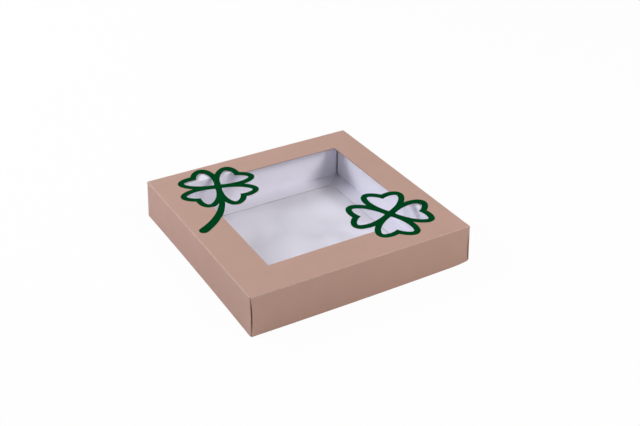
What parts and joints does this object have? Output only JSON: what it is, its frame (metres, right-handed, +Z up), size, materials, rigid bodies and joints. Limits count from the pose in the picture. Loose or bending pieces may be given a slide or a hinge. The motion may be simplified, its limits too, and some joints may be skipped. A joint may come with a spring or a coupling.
{
  "type": "chocolate box",
  "caption": "Flat square card box for chocolates: a white hollow-wall tray under a full-depth kraft lid with a film window and die-cut, printed four-leaf clovers.",
  "frame": {"origin": "middle of the box's footprint, on the surface that it stands on", "axes": "+X along the front from left to right, +Y from the front to the back, +Z up, which is the way the lid lifts off"},
  "size_m": [0.185, 0.185, 0.0316],
  "materials": {
    "lid_card": "uncoated pinkish-tan kraft card, matt and slightly fibrous",
    "tray_card": "white coated boxboard, satin matt",
    "window_film": "clear glossy film",
    "film_glue": "thin dried line of clear adhesive",
    "green_print": "dark green ink on card, satin"
  },
  "bodies": {
    "tray": {"tray_floor": "tray_card", "tray_front_wall": "tray_card", "tray_front_ledge": "tray_card", "tray_front_inner_wall": "tray_card", "tray_front_flap_left": "tray_card", "tray_front_flap_right": "tray_card", "tray_right_wall": "tray_card", "tray_right_ledge": "tray_card", "tray_right_inner_wall": "tray_card", "tray_back_wall": "tray_card", "tray_back_ledge": "tray_card", "tray_back_inner_wall": "tray_card", "tray_back_flap_left": "tray_card", "tray_back_flap_right": "tray_card", "tray_left_wall": "tray_card", "tray_left_ledge": "tray_card", "tray_left_inner_wall": "tray_card"},
    "lid": {"lid_top_panel": "lid_card", "lid_front_wall": "lid_card", "lid_front_hem": "lid_card", "lid_front_turn_in": "lid_card", "lid_front_flap_left": "lid_card", "lid_front_flap_right": "lid_card", "lid_right_wall": "lid_card", "lid_back_wall": "lid_card", "lid_back_hem": "lid_card", "lid_back_turn_in": "lid_card", "lid_back_flap_left": "lid_card", "lid_back_flap_right": "lid_card", "lid_left_wall": "lid_card", "window_film": "window_film", "film_glue": "film_glue", "stem_clover_print": "green_print", "plain_clover_print": "green_print"},
    "front_tab": {"tray_front_tab": "tray_card"},
    "right_tab": {"tray_right_tab": "tray_card"},
    "back_tab": {"tray_back_tab": "tray_card"},
    "left_tab": {"tray_left_tab": "tray_card"}
  },
  "joints": [
    {"name": "lid_lift", "type": "slide", "parent": "tray", "child": "lid", "axis": [0, 0, 1], "range_m": [0, 0.075]},
    {"name": "front_tab_crease", "type": "hinge", "parent": "tray", "child": "front_tab", "pos_m": [0, -0.07355, 0.0012], "axis": [1, 0, 0], "range_deg": [0, 90]},
    {"name": "right_tab_crease", "type": "hinge", "parent": "tray", "child": "right_tab", "pos_m": [0.07505, 0, 0.0012], "axis": [0, 1, 0], "range_deg": [0, 90]},
    {"name": "back_tab_crease", "type": "hinge", "parent": "tray", "child": "back_tab", "pos_m": [0, 0.07355, 0.0012], "axis": [-1, 0, 0], "range_deg": [0, 90]},
    {"name": "left_tab_crease", "type": "hinge", "parent": "tray", "child": "left_tab", "pos_m": [-0.07505, 0, 0.0012], "axis": [0, -1, 0], "range_deg": [0, 90]}
  ]
}
